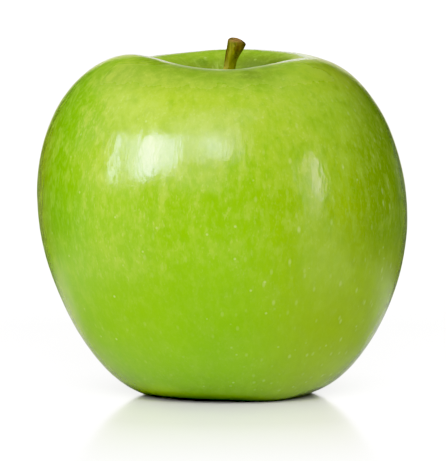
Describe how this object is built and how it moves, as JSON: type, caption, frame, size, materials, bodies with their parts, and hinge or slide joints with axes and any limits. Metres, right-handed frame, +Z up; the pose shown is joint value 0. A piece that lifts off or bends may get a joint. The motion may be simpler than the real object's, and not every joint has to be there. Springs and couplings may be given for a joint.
{
  "type": "green apple",
  "caption": "Green apple standing on its base, with a stem cavity round a short woody stem and a dried calyx in the eye basin underneath.",
  "frame": {"origin": "on the surface that the apple stands on, under the middle of the fruit", "axes": "+Z up towards the stem, -Y towards the side seen from the front, +X to that side's right"},
  "size_m": [0.08, 0.0801, 0.0771],
  "materials": {
    "skin": "waxy yellow-green apple skin with pale lenticels, satin gloss",
    "stem_wood": "olive-brown ridged stem bark, dull",
    "dried_calyx": "withered grey-brown sepals and stamens, matt"
  },
  "bodies": {
    "root": {"fruit_body": "skin", "stem": "stem_wood", "calyx": "dried_calyx"}
  },
  "joints": []
}
